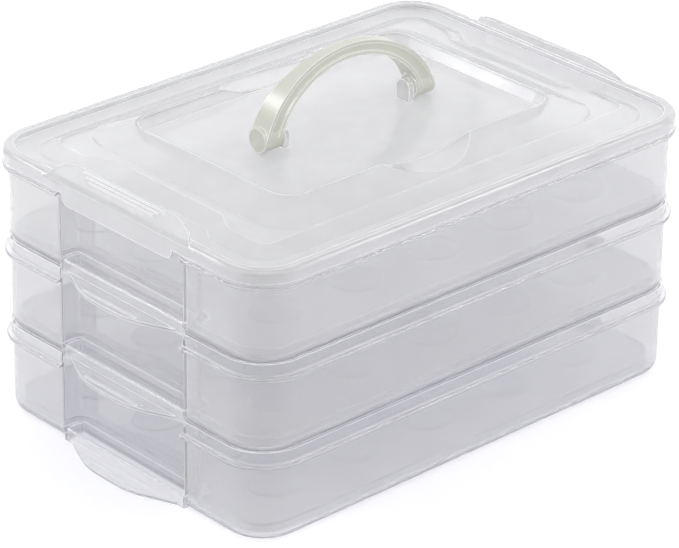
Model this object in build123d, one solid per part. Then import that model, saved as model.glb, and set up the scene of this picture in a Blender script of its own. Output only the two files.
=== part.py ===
from build123d import *
from math import atan2, degrees, hypot, sqrt
import os

# Egg storage container: three alike boxes that stack, a loose egg tray in each,
# a domed lid, and an arch handle that folds flat on it.
# Millimetres, +Z up. The origin is the centre of the footprint, on the rest plane.
# X runs along the long side, and the set-in grip windows are in the two short sides.

# Boxes
body_length = 333.0
body_width = 232.5
corner_radius = 26.0
wall = 1.8
floor_thickness = 2.5
stack_pitch = 54.5
nest_depth = 2.5
base_round = 6.5
seat_gap = 0.45

# Rim: a bead that stands out, and the collar above it that takes the next box or the lid
bead_height = 46.9
bead_thickness = 2.4
bead_reach = 3.6
bead_round = 0.7

# Grip windows in the short sides: the wall is set in above a shelf
window_half_width = 53.5
window_depth = 12.6
window_corner_radius = 3.0
shelf_height = 8.3
shelf_round = 1.2
shelf_foot_height = 4.0
window_top_drop = 1.5

# Grip ears at the foot of each window
ear_reach = 12.5
ear_thickness = 2.0
ear_root_half = 47.0
ear_tip_half = 19.0
ear_tip_radius = 60.0
ear_rib_half = 23.0
ear_rib_height = 0.7
ear_rib_width = 1.2
ear_rib_from_tip = 4.0

# Egg trays
tray_sheet = 1.2
tray_height = 6.0
tray_clearance = 4.0
tray_floor_gap = 0.2
egg_pitch_x = 59.0
egg_pitch_y = 50.0
egg_columns = 5
egg_rows = 4
egg_length = 57.0
egg_diameter = 44.0
cup_play = 0.6

# Lid
lid_gap = 0.3
skirt_gap = 0.5
skirt_height = 7.7
skirt_round = 3.0
moat_inset = 3.4
moat_depth = 3.5
plateau_inset = 26.0
plateau_slope = 12.0
plateau_rise = 1.1
plateau_radius = 8.0
scallop_depth = 9.0
scallop_mouth_half = 60.0
scallop_inner_half = 46.0
scallop_radius = 14.0
slope_foot_length = 251.0
slope_foot_width = 178.0
slope_foot_radius = 22.0
crest_length = 211.4
crest_width = 139.0
crest_radius = 14.0
crest_rise = 9.5
crest_flat = 1.2
panel_drop = 7.4
panel_wall_run = 3.0
scoop_half_width = 34.0
scoop_depth = 7.0

# Grip lips on the lid, over the windows
lip_root_half = 65.0
lip_tip_half = 39.0
lip_curve_low_run = 0.27
lip_curve_low_rise = 0.42
lip_curve_high_run = 0.58
lip_curve_high_rise = 0.82
lip_top_height = 9.3
lip_lean = 7.8
lip_bend_drop = 1.5
lip_thickness = 2.0
apron_drop = 6.4
apron_half = 47.5
apron_corner_radius = 5.0
lip_rib_count = 3
lip_rib_half = 35.0
lip_rib_step = 3.5
lip_rib_from_tip = 1.6
lip_rib_spacing = 2.2
lip_rib_height = 0.5
lip_rib_width = 0.9

# Handle
handle_half_span = 66.5
handle_top_half = 3.2
handle_top_height = 41.7
arch_centre_drop = 9.9
arch_thickness_side = 11.0
arch_thickness_top = 8.4
foot_radius = 7.2
foot_thickness = 15.0
foot_set_in = 0.5
floor_gap = 0.5
channel_depth = 1.3
channel_border = 2.2
stud_radius = 3.0
stud_clearance = 0.06
stud_length = 6.0
bore_depth = 6.5
lug_gap = 0.3
lug_thickness = 4.0
lug_half_width = 5.5
relief_gap = 2.8

# How far cutting bodies run past a face
overrun = 1.0

# Worked out from the sizes above
beyond = body_length / 4
rim_height = stack_pitch + nest_depth
base_inset_at_rim = base_round - sqrt(base_round**2 - (base_round - nest_depth) ** 2)
collar_reach = wall - base_inset_at_rim + seat_gap
collar_start = bead_height + bead_thickness
half_length = body_length / 2
window_x = half_length - window_depth
skirt_reach = collar_reach + skirt_gap + wall
top_rim_z = 2 * stack_pitch + rim_height
flange_top = top_rim_z + lid_gap + wall
skirt_bottom = flange_top - skirt_height
moat_floor = flange_top - moat_depth
plateau_z = flange_top + plateau_rise
crest_z = flange_top + crest_rise
panel_z = crest_z - panel_drop
pivot_z = panel_z + foot_radius + floor_gap
handle_top_z = pivot_z + handle_top_height
foot_outer = handle_half_span - foot_set_in
foot_inner = foot_outer - foot_thickness
lug_outer = foot_inner - lug_gap
lug_inner = lug_outer - lug_thickness


def layer(offset, z_low, z_high):
    """Upright block with the box outline moved outward by offset."""
    plan = RectangleRounded(body_length + 2 * offset, body_width + 2 * offset, corner_radius + offset)
    return extrude(Pos(0, 0, z_low) * plan, z_high - z_low)


def both_ends(piece):
    """The piece and its mirror image at the other short side."""
    return piece + mirror(piece, Plane.YZ)


def notch(grow, z_low, z_high):
    """Cutters that set both short sides in at the windows, grown on every side by grow."""
    run = window_depth + grow + beyond
    plan = Rectangle(run, 2 * (window_half_width + grow))
    plan = Pos(half_length + beyond - run / 2, 0, z_low) * plan
    inner = plan.vertices().group_by(Axis.X)[0]
    plan = fillet(inner, window_corner_radius + grow)
    return both_ends(extrude(plan, z_high - z_low))


def tapered(low, high):
    """Frustum between two rounded rectangles, each given as length, width, radius and height."""
    faces = [Pos(0, 0, z) * RectangleRounded(a, b, r) for a, b, r, z in (low, high)]
    return loft(faces)


def ear():
    """Grip ear at the +X short side, with its rib, at the foot of the window."""
    tip_x = half_length + ear_reach
    root_x = half_length - wall
    outline = Polyline(
        (root_x, ear_root_half),
        (half_length, ear_root_half),
        (tip_x, ear_tip_half),
        (tip_x, -ear_tip_half),
        (half_length, -ear_root_half),
        (root_x, -ear_root_half),
        close=True,
    )
    face = make_face(outline)
    face = fillet(face.vertices().group_by(Axis.X)[-1], ear_tip_radius)
    plate = extrude(face, ear_thickness)
    rib = Rot(0, 0, 90) * SlotOverall(2 * ear_rib_half, ear_rib_width)
    rib = extrude(rib, ear_rib_height + ear_thickness / 2)
    return plate + Pos(tip_x - ear_rib_from_tip, 0, ear_thickness / 2) * rib


def plinth():
    """Shelf, front and ear at the foot of the +X window, open below."""
    centre_x = (window_x + half_length) / 2
    foot_half = window_half_width - seat_gap
    foot = Pos(centre_x, 0, shelf_foot_height / 2) * Box(window_depth, 2 * foot_half, shelf_foot_height)
    rise = shelf_height - shelf_foot_height
    shelf = Pos(centre_x, 0, shelf_foot_height + rise / 2) * Box(window_depth, 2 * window_half_width, rise)
    outer_edge = shelf.edges().filter_by(Axis.Y).group_by(Axis.Z)[-1].sort_by(Axis.X)[-1]
    shelf = fillet(outer_edge, shelf_round)
    pocket_height = shelf_height - wall
    pocket = Box(window_depth, 2 * (foot_half - wall), pocket_height)
    pocket = Pos(centre_x - wall, 0, pocket_height / 2) * pocket
    return foot + shelf - pocket + ear()


def stack_box():
    """One stacking box, standing on z = 0."""
    body = layer(0, 0, rim_height)
    body = fillet(body.edges().group_by(Axis.Z)[0], base_round)
    bead = layer(bead_reach, bead_height, collar_start)
    bead = fillet(bead.edges().filter_by(Plane.XY), bead_round)
    outside = body + bead + layer(collar_reach, collar_start, rim_height)
    outside -= notch(0, -overrun, rim_height + overrun)
    hollow = layer(-wall, floor_thickness, rim_height + overrun)
    hollow = fillet(hollow.edges().group_by(Axis.Z)[0], base_round - wall)
    hollow += layer(collar_reach - wall, collar_start, rim_height + overrun)
    hollow -= notch(wall, 0, rim_height + 2 * overrun)
    shell = outside - hollow + both_ends(plinth())
    seat_low = stack_pitch - window_top_drop
    seat_start = window_x - 2 * wall
    seat_end = half_length + collar_reach - wall
    seat_half = window_half_width + wall + seat_gap
    seat_height = rim_height + overrun - seat_low
    seat = Box(seat_end - seat_start, 2 * seat_half, seat_height)
    seat = Pos((seat_start + seat_end) / 2, 0, seat_low + seat_height / 2) * seat
    return shell - both_ends(seat)


def cup(grow):
    """Bed of one lying egg: the egg's body of revolution about X, grown by grow."""
    half = egg_length / 2 + cup_play + grow
    depth = egg_diameter / 2 + cup_play + grow
    radius = (half**2 + depth**2) / (2 * depth)
    arc = RadiusArc((-half, 0), (half, 0), radius)
    face = make_face([arc, Line((half, 0), (-half, 0))])
    return revolve(face, Axis.X)


def egg_tray():
    """Loose tray: a sheet with a skirt and one shallow oval cup for each egg, standing on z = 0."""
    inset = wall + tray_clearance
    outside = layer(-inset, 0, tray_height) - notch(inset, -overrun, tray_height + overrun)
    hollow = layer(-inset - tray_sheet, -overrun, tray_height - tray_sheet)
    hollow -= notch(inset + tray_sheet, -2 * overrun, tray_height + overrun)
    sheet = outside - hollow
    centre_z = tray_sheet + egg_diameter / 2 + cup_play
    first_x = -(egg_columns - 1) / 2 * egg_pitch_x
    first_y = -(egg_rows - 1) / 2 * egg_pitch_y
    places = [
        Pos(first_x + i * egg_pitch_x, first_y + j * egg_pitch_y, centre_z)
        for i in range(egg_columns)
        for j in range(egg_rows)
    ]
    slab = Pos(0, 0, tray_height / 2) * Box(body_length, body_width, tray_height)
    shells = [place * cup(tray_sheet) & slab for place in places]
    beds = [place * cup(0) for place in places]
    return (sheet + shells) - beds


def handle_axis_cylinder(radius, x_low, x_high):
    """Cylinder along the fold axis of the handle."""
    length = x_high - x_low
    return Pos((x_low + x_high) / 2, 0, pivot_z) * Rot(0, 90, 0) * Cylinder(radius, length)


def handle_lug():
    """Lug that stands on the lid's panel at +X and carries the stud of the handle."""
    centre_x = (lug_inner + lug_outer) / 2
    post_low = panel_z - wall / 2
    post = Box(lug_thickness, 2 * lug_half_width, pivot_z - post_low)
    post = Pos(centre_x, 0, (post_low + pivot_z) / 2) * post
    crown = handle_axis_cylinder(lug_half_width, lug_inner, lug_outer)
    stud = handle_axis_cylinder(stud_radius, lug_inner, lug_outer + stud_length)
    return post + crown + stud


def plateau_plan(outset, height):
    """Edge of the plateau moved outward by outset: a rounded plan with a scallop in each short side."""
    length = body_length - 2 * (plateau_inset - outset)
    width = body_width - 2 * (plateau_inset - outset)
    plan = RectangleRounded(length, width, plateau_radius + max(outset, 0))
    mouth_x = length / 2
    inner_x = mouth_x - scallop_depth
    scallop = make_face(
        Polyline(
            (mouth_x, scallop_mouth_half),
            (inner_x, scallop_inner_half),
            (inner_x, -scallop_inner_half),
            (mouth_x, -scallop_mouth_half),
            close=True,
        )
    )
    plan -= scallop + mirror(scallop, Plane.YZ)
    ends = [v for v in plan.vertices() if abs(v.Y) < scallop_mouth_half + overrun]
    return Pos(0, 0, height) * fillet(ends, scallop_radius)


def dome(shrink):
    """Everything under the lid's upper surface, with that surface moved inward by shrink."""
    low_z = moat_floor - shrink
    edge_z = plateau_z - shrink
    top_z = crest_z - shrink
    body = layer(skirt_reach - shrink, skirt_bottom - shrink, flange_top - shrink)
    if shrink == 0:
        body = fillet(body.edges().group_by(Axis.Z)[-1], skirt_round)
    moat = layer(-moat_inset + shrink, low_z, flange_top + overrun)
    foot = plateau_plan(plateau_slope - shrink, low_z)
    edge = plateau_plan(-shrink, edge_z)
    plateau = loft([foot, edge], ruled=True)
    slope_foot = (slope_foot_length - 2 * shrink, slope_foot_width - 2 * shrink, slope_foot_radius, edge_z)
    crest = (crest_length - 2 * shrink, crest_width - 2 * shrink, crest_radius, top_z)
    panel_low = (
        crest_length - 2 * (crest_flat + panel_wall_run) + 2 * shrink,
        crest_width - 2 * (crest_flat + panel_wall_run) + 2 * shrink,
        crest_radius,
        panel_z - shrink,
    )
    panel_high = (
        crest_length - 2 * crest_flat + 2 * shrink,
        crest_width - 2 * crest_flat + 2 * shrink,
        crest_radius,
        top_z + overrun,
    )
    scoop_radius = (scoop_half_width**2 + scoop_depth**2) / (2 * scoop_depth)
    scoop = Rot(90, 0, 0) * Cylinder(scoop_radius + shrink, body_width)
    scoop = Pos(0, 0, crest_z - scoop_depth + scoop_radius) * scoop
    return body - moat + plateau + tapered(slope_foot, crest) - tapered(panel_low, panel_high) - scoop


def lip_outline(slant):
    """Face of a lip, flat at the tip, with an S-shaped run down to its root at each end."""
    run = lip_root_half - lip_tip_half
    end = Spline(
        [
            (lip_root_half, 0),
            (lip_root_half - lip_curve_low_run * run, lip_curve_low_rise * slant),
            (lip_root_half - lip_curve_high_run * run, lip_curve_high_rise * slant),
            (lip_tip_half, slant),
        ],
        tangents=[(-1, 0), (-1, 0)],
    )
    tip = Line((lip_tip_half, slant), (-lip_tip_half, slant))
    root = Line((-lip_root_half, 0), (lip_root_half, 0))
    return make_face([end, tip, mirror(end, Plane.YZ), root])


def lip():
    """Grip lip at +X with the apron below it that closes the top of the window."""
    outer_x = half_length + skirt_reach
    low_z = skirt_bottom - apron_drop
    bend_z = flange_top - lip_bend_drop
    rise = lip_top_height + lip_bend_drop
    slant = hypot(rise, lip_lean)
    lean_angle = degrees(atan2(lip_lean, rise))
    apron_height = bend_z - low_z
    flap = Pos(0, low_z + apron_height / 2) * Rectangle(2 * apron_half, apron_height)
    flap = fillet(flap.vertices().group_by(Axis.Y)[0], apron_corner_radius)
    flap += Pos(0, (skirt_bottom + bend_z) / 2) * Rectangle(2 * lip_root_half, bend_z - skirt_bottom)
    side = Plane(origin=(outer_x - lip_thickness, 0, 0), x_dir=(0, 1, 0), z_dir=(1, 0, 0))
    apron = extrude(side * flap, lip_thickness)
    plate = extrude(lip_outline(slant), lip_thickness)
    for i in range(lip_rib_count):
        rib = SlotOverall(2 * (lip_rib_half - i * lip_rib_step), lip_rib_width)
        along = slant - lip_rib_from_tip - i * lip_rib_spacing
        plate += Pos(0, along, lip_thickness / 2) * extrude(rib, lip_thickness / 2 + lip_rib_height)
    upright = Plane(origin=(-lip_thickness, 0, 0), x_dir=(0, 1, 0), z_dir=(1, 0, 0)) * plate
    return apron + Pos(outer_x, 0, bend_z) * Rot(0, -lean_angle, 0) * upright


def lid():
    """Lid with its skirt, moat, plateau, sunk panel, lips and handle lugs."""
    shell = dome(0) - dome(wall)
    trim = Box(2 * body_length, 2 * body_width, beyond)
    shell -= Pos(0, 0, skirt_bottom - beyond / 2) * trim
    return shell + both_ends(lip()) + both_ends(handle_lug())


def arch_ring(side_low, top_low, side_high, top_high):
    """Ring between two nested half-ellipses of the arch, as deep along Y as the feet."""
    centre_z = pivot_z - arch_centre_drop
    rise = handle_top_height + arch_centre_drop
    outer = Ellipse(handle_half_span - side_low, rise - top_low)
    inner = Ellipse(handle_half_span - side_high, rise - top_high)
    ring = Pos(0, 0, centre_z) * Rot(90, 0, 0) * (outer - inner)
    return extrude(ring, foot_radius + overrun, both=True)


def end_view(shrink):
    """The handle as seen from its end: round feet that narrow to a slim top, moved inward by shrink."""
    low_half = foot_radius - shrink
    high_half = handle_top_half - shrink
    side = TangentArc((low_half, pivot_z), (high_half, handle_top_z), tangent=(0, 1))
    top = Line((high_half, handle_top_z), (-high_half, handle_top_z))
    under = ThreePointArc((-low_half, pivot_z), (0, pivot_z - low_half), (low_half, pivot_z))
    face = make_face([side, top, mirror(side, Plane.YZ), under])
    return extrude(Plane.YZ * face, handle_half_span + overrun, both=True)


def carry_handle():
    """Arch handle with sunk sides and round feet that turn on the lid's studs."""
    arch = arch_ring(0, 0, arch_thickness_side, arch_thickness_top) & end_view(0)
    inner_side = arch_thickness_side - channel_border
    inner_top = arch_thickness_top - channel_border
    channel = arch_ring(channel_border, channel_border, inner_side, inner_top) - end_view(channel_depth)
    above = Pos(0, 0, pivot_z + handle_top_height / 2) * Box(2 * body_length, beyond, handle_top_height)
    arch -= channel & above
    relief = handle_axis_cylinder(lug_half_width + relief_gap, -foot_inner, foot_inner)
    feet = both_ends(handle_axis_cylinder(foot_radius, foot_inner, foot_outer))
    bore_radius = stud_radius + stud_clearance
    bores = both_ends(handle_axis_cylinder(bore_radius, foot_inner - overrun, foot_inner + bore_depth))
    return arch - relief + feet - bores


def write(name, solid):
    """Write one piece to its own STEP file."""
    export_step(solid, "parts/" + name + ".step")
    print(name, round(solid.volume), "mm3", len(solid.solids()), "solid")


def main():
    os.makedirs("parts", exist_ok=True)
    box = stack_box()
    tray = egg_tray()
    levels = ("bottom", "middle", "top")
    tray_levels = ("lower", "middle", "upper")
    for level, name in enumerate(levels):
        write(name + "_box", Pos(0, 0, level * stack_pitch) * box)
    for level, name in enumerate(tray_levels):
        height = level * stack_pitch + floor_thickness + tray_floor_gap
        write(name + "_egg_tray", Pos(0, 0, height) * tray)
    write("lid", lid())
    write("carry_handle", carry_handle())


main()
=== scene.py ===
# %% [markdown]
# The egg storage container, dressed in Blender
#
# The object is three shallow boxes of milky, see-through polypropylene that stack on each other.
# A loose egg tray lies in each box, a stepped lid closes the top one, and a cream arch handle
# folds down on the lid. The construction model already holds every piece at its real size, so this
# script loads it as a fixed frame and gives it its finish, its light and its camera.

# %% Load the construction frame
from math import cos, radians, sin

import bpy
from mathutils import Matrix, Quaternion, Vector

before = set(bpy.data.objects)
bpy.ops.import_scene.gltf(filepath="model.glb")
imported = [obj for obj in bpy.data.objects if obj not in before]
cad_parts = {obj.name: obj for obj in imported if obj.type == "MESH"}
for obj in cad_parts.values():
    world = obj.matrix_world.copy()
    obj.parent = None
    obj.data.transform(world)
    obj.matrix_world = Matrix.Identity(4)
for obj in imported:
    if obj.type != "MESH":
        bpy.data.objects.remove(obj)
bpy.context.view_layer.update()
scene = bpy.context.scene
MM = 0.001
print("nodes:", sorted(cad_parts))

# %% [markdown]
# The camera
#
# A product photographer stands well back with a long lens, so that the parallel edges of a box stay
# nearly parallel. The view is written the way a photographer would say it: how far round the object,
# how high above it, how far away, and through which lens.

# %% Camera at the product view
LENS_MM = 198.5
SENSOR_MM = 36.0
VIEW_AZIMUTH = radians(-42.85)
VIEW_ELEVATION = radians(26.64)
VIEW_ROLL = radians(0.81)
VIEW_TARGET = Vector((-96.22, -102.32, 142.61)) * MM
VIEW_DISTANCE = 2040.25 * MM
VIEW_DEPTH = 50


def place_camera():
    """Add the camera, looking at the target from the azimuth, elevation and distance above."""
    back = Vector((
        sin(VIEW_AZIMUTH) * cos(VIEW_ELEVATION),
        -cos(VIEW_AZIMUTH) * cos(VIEW_ELEVATION),
        sin(VIEW_ELEVATION),
    ))
    turn = back.to_track_quat("Z", "Y") @ Quaternion((0, 0, 1), VIEW_ROLL)
    place = VIEW_TARGET + back * VIEW_DISTANCE
    bpy.ops.object.camera_add(location=place, rotation=turn.to_euler())
    camera = bpy.context.object
    camera.name = "product_camera"
    camera.data.lens = LENS_MM
    camera.data.sensor_width = SENSOR_MM
    camera.data.clip_end = VIEW_DEPTH
    scene.camera = camera
    return camera


print("camera at", [round(c, 3) for c in place_camera().location])

# %% [markdown]
# Colour and node helpers
#
# Colours are picked on a screen, as sRGB hex values, but shaders add light in linear values.
# One function turns the first into the second. A second one adds a shader node, sets its inputs and
# links them, so that a material below reads as a short list of steps. The others make an empty
# material, fade one value into another, and put a material on a piece.

# %% Colour and node helpers


def linear(hex_colour):
    """Linear RGBA of an sRGB hex colour such as #D8DADF."""
    channels = [int(hex_colour[i:i + 2], 16) / 255 for i in (1, 3, 5)]
    light = [c / 12.92 if c <= 0.04045 else ((c + 0.055) / 1.055) ** 2.4 for c in channels]
    return (*light, 1.0)


def add_node(material, kind, settings=None, **inputs):
    """Add a shader node. Settings go on the node, and each input takes a value or a node's socket.

    An input is given by its name, with _ for a space, or by its number, as in i0.
    """
    node = material.node_tree.nodes.new("ShaderNode" + kind)
    for key, value in (settings or {}).items():
        setattr(node, key, value)
    for key, value in inputs.items():
        name = int(key[1:]) if key[0] == "i" and key[1:].isdigit() else key.replace("_", " ")
        if isinstance(value, bpy.types.NodeSocket):
            material.node_tree.links.new(value, node.inputs[name])
        else:
            node.inputs[name].default_value = value
    return node


def new_material(name):
    """An empty node material and its output node."""
    material = bpy.data.materials.new(name)
    material.use_nodes = True
    material.node_tree.nodes.clear()
    return material, add_node(material, "OutputMaterial")


def ramp(material, value, low, high, from_value, to_value):
    """A smooth step of the value from from_value at low to to_value at high."""
    step = add_node(material, "MapRange", {"interpolation_type": "SMOOTHSTEP"}, Value=value)
    step.inputs["From Min"].default_value = low
    step.inputs["From Max"].default_value = high
    step.inputs["To Min"].default_value = from_value
    step.inputs["To Max"].default_value = to_value
    return step.outputs["Result"]


def give_finish(node, material):
    """Make the material the only one of a piece of the construction model."""
    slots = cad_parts[node].data.materials
    slots.clear()
    slots.append(material)


print("middle grey in linear light:", [round(c, 3) for c in linear("#808080")])

# %% [markdown]
# Milky polypropylene
#
# Food boxes of this kind are injection moulded from natural polypropylene. The plastic is hazy rather
# than clear: part of the light goes straight through and part is scattered back, so the walls look
# white where they are thick or seen at an edge, and show what is behind them where they are thin.
# A Principled shader with partial transmission gives both. The wall above the bead and the set-in
# grip windows were polished in the mould, so there the surface is smoother and clearer.
#
# Moulded edges show as thin white lines, partly because the plastic is thickest where two walls meet
# and scatters more there, and partly as highlights on their rounds. Both are painted into the material:
# near an edge the plastic is made whiter and less clear, a painted highlight as well as extra scatter.
# They could be drawn with separate strips, but an edge mark inside the material follows every form: the
# Bevel node's softened normal differs from the face's own normal only near an edge. For lamp light the
# plastic passes as a faintly tinted clear sheet, so that the inside of the stack stays as bright as it
# is in real milky plastic.

# %% Milky polypropylene, moulded
POLYPROPYLENE_IOR = 1.49
MILKY_COLOUR = linear("#F8F8F9")
# White of the edge lines: the scatter of thick plastic and a painted highlight.
SCATTER_AND_HIGHLIGHT_COLOUR = linear("#FFFFFF")
EDGE_WIDTH = 0.9 * MM
EDGE_TRACES = 6
EDGE_FULL = 0.95
EDGE_NONE = 0.993
# Share of clearness lost on edges, for the extra scatter and the painted highlight.
EDGE_SCATTER_AND_HIGHLIGHT = 0.8
BOX_CLEAR = 0.8
BOX_ROUGH = 0.12
LID_CLEAR = 0.66
LID_ROUGH = 0.14
POLISH_CLEARER = 0.08
POLISH_SMOOTHER = 0.06
LAMP_TINT = linear("#F6F6F8")
HAZE_SIZE = 45 * MM
HAZE_LOW = 0.2
HAZE_HIGH = 0.8
HAZE_CLEAR_SPREAD = 0.03
HAZE_ROUGH_SPREAD = 0.02
MOULD_GRAIN = 0.9 * MM
GRAIN_DEPTH = 0.2 * MM
GRAIN_STRENGTH = 0.04
STACK_PITCH = 54.5 * MM
BEAD_HEIGHT = 46.9 * MM
SHELF_HEIGHT = 8.3 * MM
WINDOW_HALF = 54.0 * MM
WINDOW_WALL_X = 151.0 * MM
WINDOW_BLEND = 3 * MM


def scatter_and_highlight_edges(material):
    """1 on the edges of a piece, where extra scatter and a painted highlight go, and 0 on its flat and
    gently curved faces.
    """
    rounded = add_node(material, "Bevel", {"samples": EDGE_TRACES}, Radius=EDGE_WIDTH)
    shape = add_node(material, "NewGeometry")
    same_way = add_node(
        material, "VectorMath", {"operation": "DOT_PRODUCT"},
        i0=rounded.outputs["Normal"], i1=shape.outputs["Normal"],
    )
    turned = add_node(material, "Math", {"operation": "ABSOLUTE"}, i0=same_way.outputs["Value"])
    return ramp(material, turned.outputs["Value"], EDGE_FULL, EDGE_NONE, 1.0, 0.0)


def moulded_plastic(name, colour, see_through, roughness, polished=None):
    """Hazy moulded plastic. polished names a function that marks the smoother, clearer zones."""
    material, output = new_material(name)
    place = add_node(material, "TexCoord").outputs["Object"]
    haze = add_node(
        material, "TexNoise", Vector=place, Scale=1 / HAZE_SIZE, Detail=3.0, Roughness=0.5,
    )
    grain = add_node(material, "TexNoise", Vector=place, Scale=1 / MOULD_GRAIN, Detail=2.0)
    clear = ramp(
        material, haze.outputs["Fac"], HAZE_LOW, HAZE_HIGH,
        see_through - HAZE_CLEAR_SPREAD, see_through + HAZE_CLEAR_SPREAD,
    )
    rough = ramp(
        material, haze.outputs["Fac"], HAZE_LOW, HAZE_HIGH,
        roughness - HAZE_ROUGH_SPREAD, roughness + HAZE_ROUGH_SPREAD,
    )
    if polished:
        zone = polished(material, place)
        thinner = add_node(
            material, "Math", {"operation": "MULTIPLY_ADD"}, i0=zone, i1=POLISH_CLEARER, i2=clear,
        )
        smoother = add_node(
            material, "Math", {"operation": "MULTIPLY_ADD"}, i0=zone, i1=-POLISH_SMOOTHER, i2=rough,
        )
        clear, rough = thinner.outputs["Value"], smoother.outputs["Value"]
    # Edges whiter and less clear: partly the extra scatter of thick plastic, partly a painted
    # highlight.
    edge_mask_scatter_and_highlight = scatter_and_highlight_edges(material)
    clear_share_off_edges = add_node(
        material, "Math", {"operation": "MULTIPLY_ADD"}, i0=edge_mask_scatter_and_highlight, i1=-EDGE_SCATTER_AND_HIGHLIGHT, i2=1.0,
    )
    clear = add_node(
        material, "Math", {"operation": "MULTIPLY"}, i0=clear, i1=clear_share_off_edges.outputs["Value"],
    )
    colour_with_edge_scatter_and_highlight = add_node(material, "Mix", {"data_type": "RGBA"}, i0=edge_mask_scatter_and_highlight, i6=colour, i7=SCATTER_AND_HIGHLIGHT_COLOUR)
    bump = add_node(
        material, "Bump",
        Height=grain.outputs["Fac"], Strength=GRAIN_STRENGTH, Distance=GRAIN_DEPTH,
    )
    shader = add_node(
        material, "BsdfPrincipled", Base_Color=colour_with_edge_scatter_and_highlight.outputs[2], Roughness=rough,
        Transmission_Weight=clear.outputs["Value"], Normal=bump.outputs["Normal"],
    )
    shader.inputs["IOR"].default_value = POLYPROPYLENE_IOR
    lamp_path = add_node(material, "BsdfTransparent", Color=LAMP_TINT)
    both = add_node(
        material, "MixShader", i0=add_node(material, "LightPath").outputs["Is Shadow Ray"],
        i1=shader.outputs["BSDF"], i2=lamp_path.outputs["BSDF"],
    )
    material.node_tree.links.new(both.outputs["Shader"], output.inputs["Surface"])
    return material


def box_polish(level):
    """A function that marks the collar and the grip windows of the box at this level of the stack."""
    base = level * STACK_PITCH

    def mark(material, place):
        parts = add_node(material, "SeparateXYZ", Vector=place)
        bead = base + BEAD_HEIGHT
        shelf = base + SHELF_HEIGHT
        collar = ramp(material, parts.outputs["Z"], bead - MM, bead + MM, 0.0, 1.0)
        side = add_node(material, "Math", {"operation": "ABSOLUTE"}, i0=parts.outputs["Y"])
        end = add_node(material, "Math", {"operation": "ABSOLUTE"}, i0=parts.outputs["X"])
        across = ramp(
            material, side.outputs["Value"], WINDOW_HALF, WINDOW_HALF + WINDOW_BLEND, 1.0, 0.0,
        )
        along = ramp(material, end.outputs["Value"], WINDOW_WALL_X, WINDOW_WALL_X + MM, 0.0, 1.0)
        above = ramp(material, parts.outputs["Z"], shelf - MM, shelf, 0.0, 1.0)
        window = add_node(material, "Math", {"operation": "MULTIPLY"}, i0=across, i1=along)
        window = add_node(
            material, "Math", {"operation": "MULTIPLY"}, i0=window.outputs["Value"], i1=above,
        )
        both = add_node(
            material, "Math", {"operation": "MAXIMUM"}, i0=window.outputs["Value"], i1=collar,
        )
        return both.outputs["Value"]

    return mark


BOX_NODES = ("bottom_box", "middle_box", "top_box")
for level, node in enumerate(BOX_NODES):
    name = f"Milky polypropylene, moulded, {node}"
    box_finish = moulded_plastic(name, MILKY_COLOUR, BOX_CLEAR, BOX_ROUGH, box_polish(level))
    give_finish(node, box_finish)
lid_finish = moulded_plastic(
    "Milky polypropylene, moulded, lid", MILKY_COLOUR, LID_CLEAR, LID_ROUGH,
)
give_finish("lid", lid_finish)
print("milky pieces:", BOX_NODES + ("lid",))

# %% [markdown]
# Clear trays and cream handle
#
# The loose trays are thin and without pigment, so they are about as clear as the boxes and whiter. The
# handle is moulded from the same polypropylene with a cream pigment, thick enough that hardly any
# light comes straight through.

# %% Clear trays and cream handle
TRAY_COLOUR = linear("#FEFEFE")
TRAY_CLEAR = 0.8
TRAY_ROUGH = 0.15
HANDLE_COLOUR = linear("#E4E5DB")
HANDLE_CLEAR = 0.2
HANDLE_ROUGH = 0.25
TRAY_NODES = ("lower_egg_tray", "middle_egg_tray", "upper_egg_tray")

tray_finish = moulded_plastic(
    "Clear polypropylene, thin moulded", TRAY_COLOUR, TRAY_CLEAR, TRAY_ROUGH,
)
for node in TRAY_NODES:
    give_finish(node, tray_finish)
handle_finish = moulded_plastic(
    "Cream polypropylene, moulded", HANDLE_COLOUR, HANDLE_CLEAR, HANDLE_ROUGH,
)
give_finish("carry_handle", handle_finish)
print("trays and handle finished")

# %% [markdown]
# Studio
#
# A pale product shot is taken on a white sweep in even light. The floor here is a plain pale plane.
# What the camera, reflections and clear plastic see of it is lifted to white, while the light that it
# throws back on the container stays that of a pale card, and the contact shadow stays.
#
# Large lamps would light clear plastic just as evenly and leave its edges dull. Three small soft lamps
# stand where rounded edges mirror them towards the camera: behind on the left for the edges that face
# left, on the right for those that face front, and low behind for the far wall of the lid.

# %% Studio floor, world and lamps
FLOOR_SIZE = 8.0
FLOOR_GAP = 0.2 * MM
FLOOR_COLOUR = linear("#E0E0E2")
FLOOR_ROUGH = 0.9
FLOOR_LIFT = 0.36
WORLD_LIGHT = 0.77
WHITE = (1, 1, 1, 1)
BODY_CENTRE = (0, 0, 0.1)
LID_CENTRE = (0, 0, 0.17)


def seen_directly(material_or_world):
    """1 for camera, mirror and see-through rays, 0 for the light that falls on the object."""
    path = add_node(material_or_world, "LightPath")
    first = add_node(
        material_or_world, "Math", {"operation": "MAXIMUM"},
        i0=path.outputs["Is Camera Ray"], i1=path.outputs["Is Glossy Ray"],
    )
    second = add_node(
        material_or_world, "Math", {"operation": "MAXIMUM"},
        i0=first.outputs["Value"], i1=path.outputs["Is Transmission Ray"],
    )
    return second.outputs["Value"]


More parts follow.
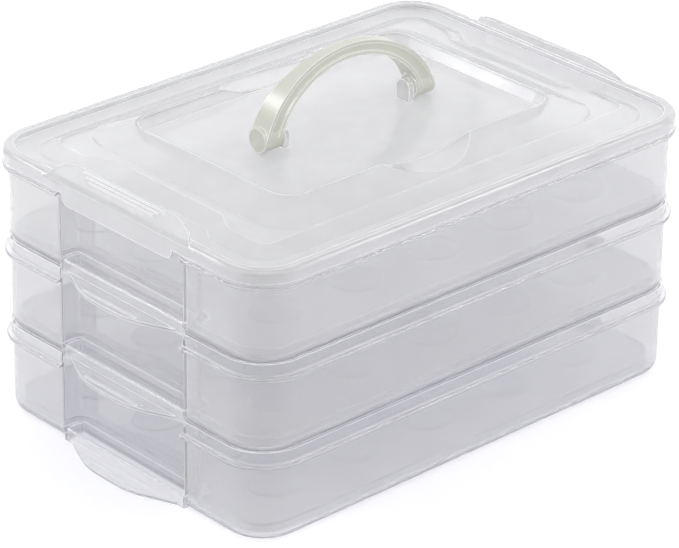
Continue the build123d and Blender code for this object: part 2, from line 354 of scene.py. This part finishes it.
def build_floor():
    """A plain pale floor plane."""
    bpy.ops.mesh.primitive_plane_add(size=FLOOR_SIZE, location=(0, 0, -FLOOR_GAP))
    floor = bpy.context.object
    floor.name = "studio_floor"
    material, output = new_material("Studio card, matt paper")
    lift = add_node(
        material, "Math", {"operation": "MULTIPLY"}, i0=seen_directly(material), i1=FLOOR_LIFT,
    )
    paper = add_node(
        material, "BsdfPrincipled", Base_Color=FLOOR_COLOUR, Roughness=FLOOR_ROUGH,
        Emission_Color=WHITE, Emission_Strength=lift.outputs["Value"],
    )
    material.node_tree.links.new(paper.outputs["BSDF"], output.inputs["Surface"])
    floor.data.materials.append(material)
    return floor


def build_world():
    """Even white surroundings: white where seen directly, softer as a light."""
    world = bpy.data.worlds.new("studio_world")
    scene.world = world
    world.use_nodes = True
    world.node_tree.nodes.clear()
    strength = ramp(world, seen_directly(world), 0.0, 1.0, WORLD_LIGHT, 1.0)
    sky = add_node(world, "Background", Color=WHITE, Strength=strength)
    out = add_node(world, "OutputWorld")
    world.node_tree.links.new(sky.outputs["Background"], out.inputs["Surface"])


def add_lamp(name, place, target, size, watts):
    """A square soft lamp at a place in metres, facing the target."""
    bpy.ops.object.light_add(type="AREA", location=place)
    lamp = bpy.context.object
    lamp.name = name
    lamp.data.size = size
    lamp.data.energy = watts
    away = Vector(place) - Vector(target)
    lamp.rotation_euler = away.to_track_quat("Z", "Y").to_euler()
    return lamp


build_floor()
build_world()
add_lamp("back_left_softbox", (-0.9, 1.31, 1.32), BODY_CENTRE, size=0.4, watts=7)
add_lamp("right_softbox", (1.22, -0.9, 1.41), BODY_CENTRE, size=0.4, watts=7)
add_lamp("low_back_softbox", (-1.5, 1.31, 0.3), LID_CENTRE, size=0.2, watts=1.5)

# %% [markdown]
# Finish
#
# Standard colour keeps a pale plastic pale instead of greying it. A view through the stack crosses
# dozens of clear walls, so light may bounce more often than usual before it is given up.

scene.view_settings.view_transform = "Standard"
scene.cycles.transparent_max_bounces = 32
scene.cycles.max_bounces = 24
scene.cycles.transmission_bounces = 24
scene.cycles.glossy_bounces = 12
scene.cycles.diffuse_bounces = 6
